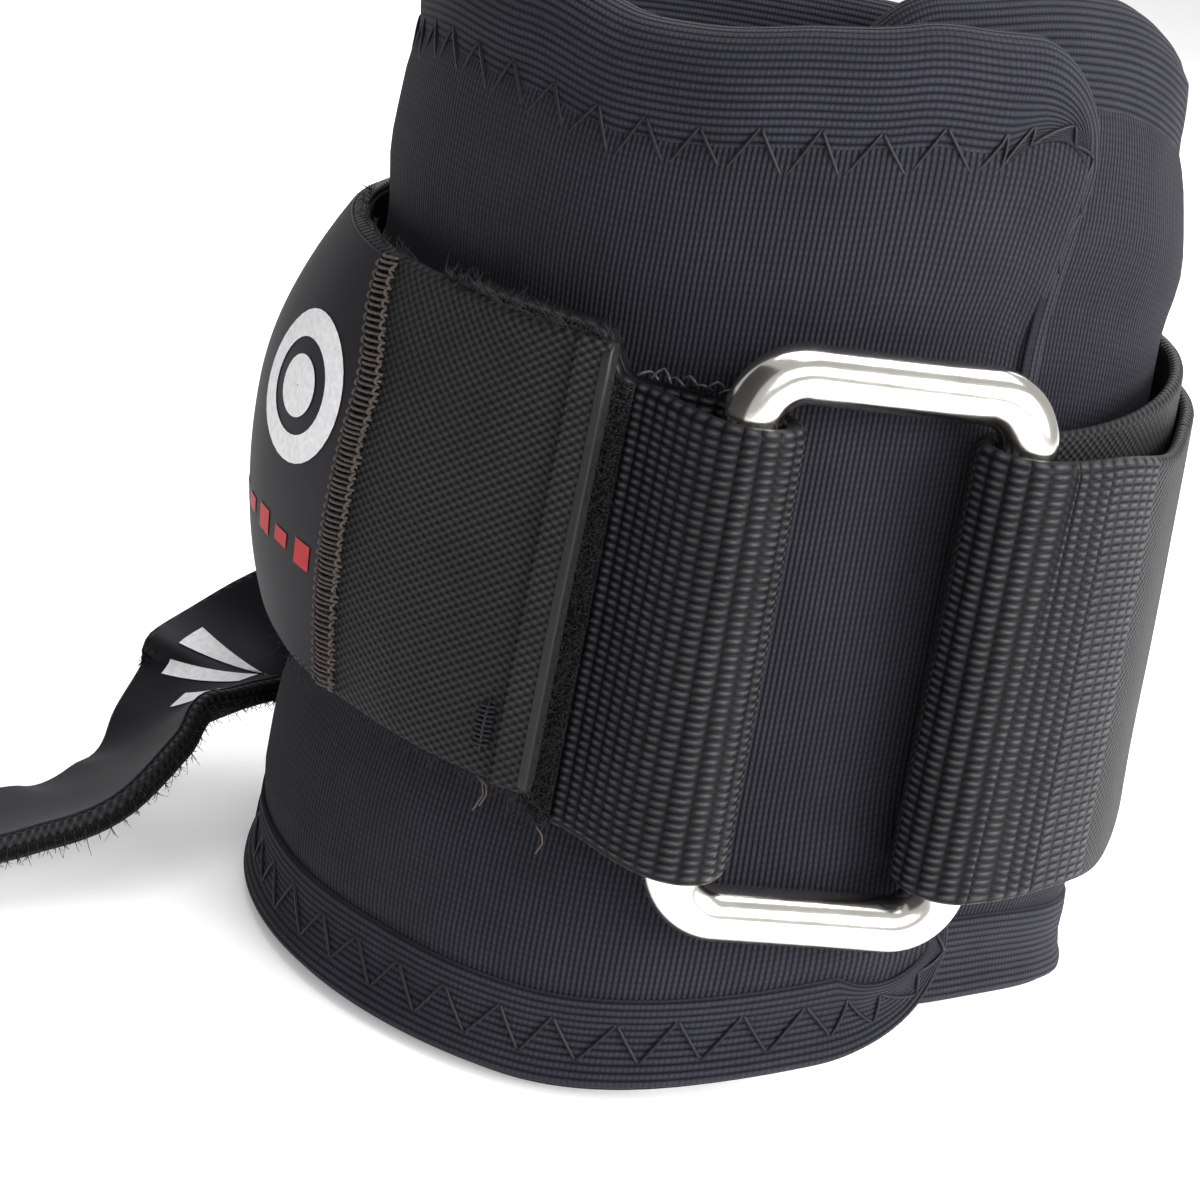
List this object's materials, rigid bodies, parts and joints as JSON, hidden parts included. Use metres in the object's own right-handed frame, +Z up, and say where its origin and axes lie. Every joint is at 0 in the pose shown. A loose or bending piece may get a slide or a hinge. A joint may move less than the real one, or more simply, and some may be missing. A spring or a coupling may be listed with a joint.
{
  "type": "ankle cuff",
  "caption": "Padded wrap for the ankle with bound edges, a rectangular metal ring in a webbing loop, and a hook-and-loop strap that turns round the ring and closes over the wrap.",
  "frame": {"origin": "under the middle of the whole cuff's box, on the surface it stands on", "axes": "+Z up through the cuff from its lower rim to its upper rim; -Y towards the ring at the front; X across, the loose tail reaching towards -X"},
  "size_m": [0.1588, 0.1172, 0.1241],
  "materials": {
    "knit": "fine knit over foam",
    "binding": "ribbed stretch binding",
    "foam": "closed-cell foam sheet",
    "webbing": "woven webbing",
    "tape": "hook-and-loop pile",
    "satin": "satin label",
    "thread": "sewing thread",
    "nickel": "bright nickel plate"
  },
  "bodies": {
    "cuff": {"foam_core": "foam", "outer_cover": "knit", "inner_lining": "knit", "top_binding": "binding", "bottom_binding": "binding", "outer_end_binding": "binding", "inner_end_binding": "binding", "anchor_loop": "webbing", "hook_patch": "tape", "ring_fold": "webbing", "inner_run": "webbing", "tail_root": "webbing"},
    "ring": {"ring": "nickel"},
    "front_length": {"strap_front": "webbing"},
    "right_length": {"strap_right": "webbing"},
    "back_length": {"strap_back": "webbing"},
    "left_length": {"strap_left": "webbing", "left_loop_tape": "tape", "label_patch": "satin", "label_seam": "thread"},
    "tip_length": {"strap_tip": "webbing", "tip_loop_tape": "tape", "tip_hem": "webbing", "tip_bar_tack": "thread"},
    "tail": {"tail": "webbing", "tail_tape": "tape", "tail_label": "satin", "tail_hem": "webbing"}
  },
  "joints": [
    {"name": "ring_swing", "type": "hinge", "parent": "cuff", "child": "ring", "pos_m": [0.00913, -0.05187, 0.058], "axis": [0, -0.056, -0.9984], "range_deg": [-0.7, 0.7]},
    {"name": "front_peel", "type": "hinge", "parent": "cuff", "child": "front_length", "pos_m": [0.04988, -0.05309, 0.058], "axis": [0.0236, -0.0507, -0.9984], "range_deg": [0, 25]},
    {"name": "right_peel", "type": "hinge", "parent": "front_length", "child": "right_length", "pos_m": [0.07784, 0.00615, 0.05696], "axis": [0.0557, 0.0049, -0.9984], "range_deg": [0, 50]},
    {"name": "back_peel", "type": "hinge", "parent": "right_length", "child": "back_length", "pos_m": [0.03872, 0.0548, 0.06063], "axis": [0.0145, 0.054, -0.9984], "range_deg": [0, 50]},
    {"name": "left_peel", "type": "hinge", "parent": "back_length", "child": "left_length", "pos_m": [-0.02215, 0.0341, 0.06225], "axis": [-0.0458, 0.0321, -0.9984], "range_deg": [0, 50]},
    {"name": "tip_peel", "type": "hinge", "parent": "left_length", "child": "tip_length", "pos_m": [-0.02483, -0.02639, 0.0625], "axis": [-0.0487, -0.0276, -0.9984], "range_deg": [0, 100]},
    {"name": "tail_swing", "type": "hinge", "parent": "cuff", "child": "tail", "pos_m": [-0.01288, 0.04324, 0.02254], "axis": [0.3878, 0.2265, -0.8934], "range_deg": [0, 30]}
  ],
  "couplings": [
    {"joint": "front_peel", "follows": "right_peel", "ratio": 0.5},
    {"joint": "back_peel", "follows": "right_peel", "ratio": 1},
    {"joint": "left_peel", "follows": "right_peel", "ratio": 1}
  ]
}
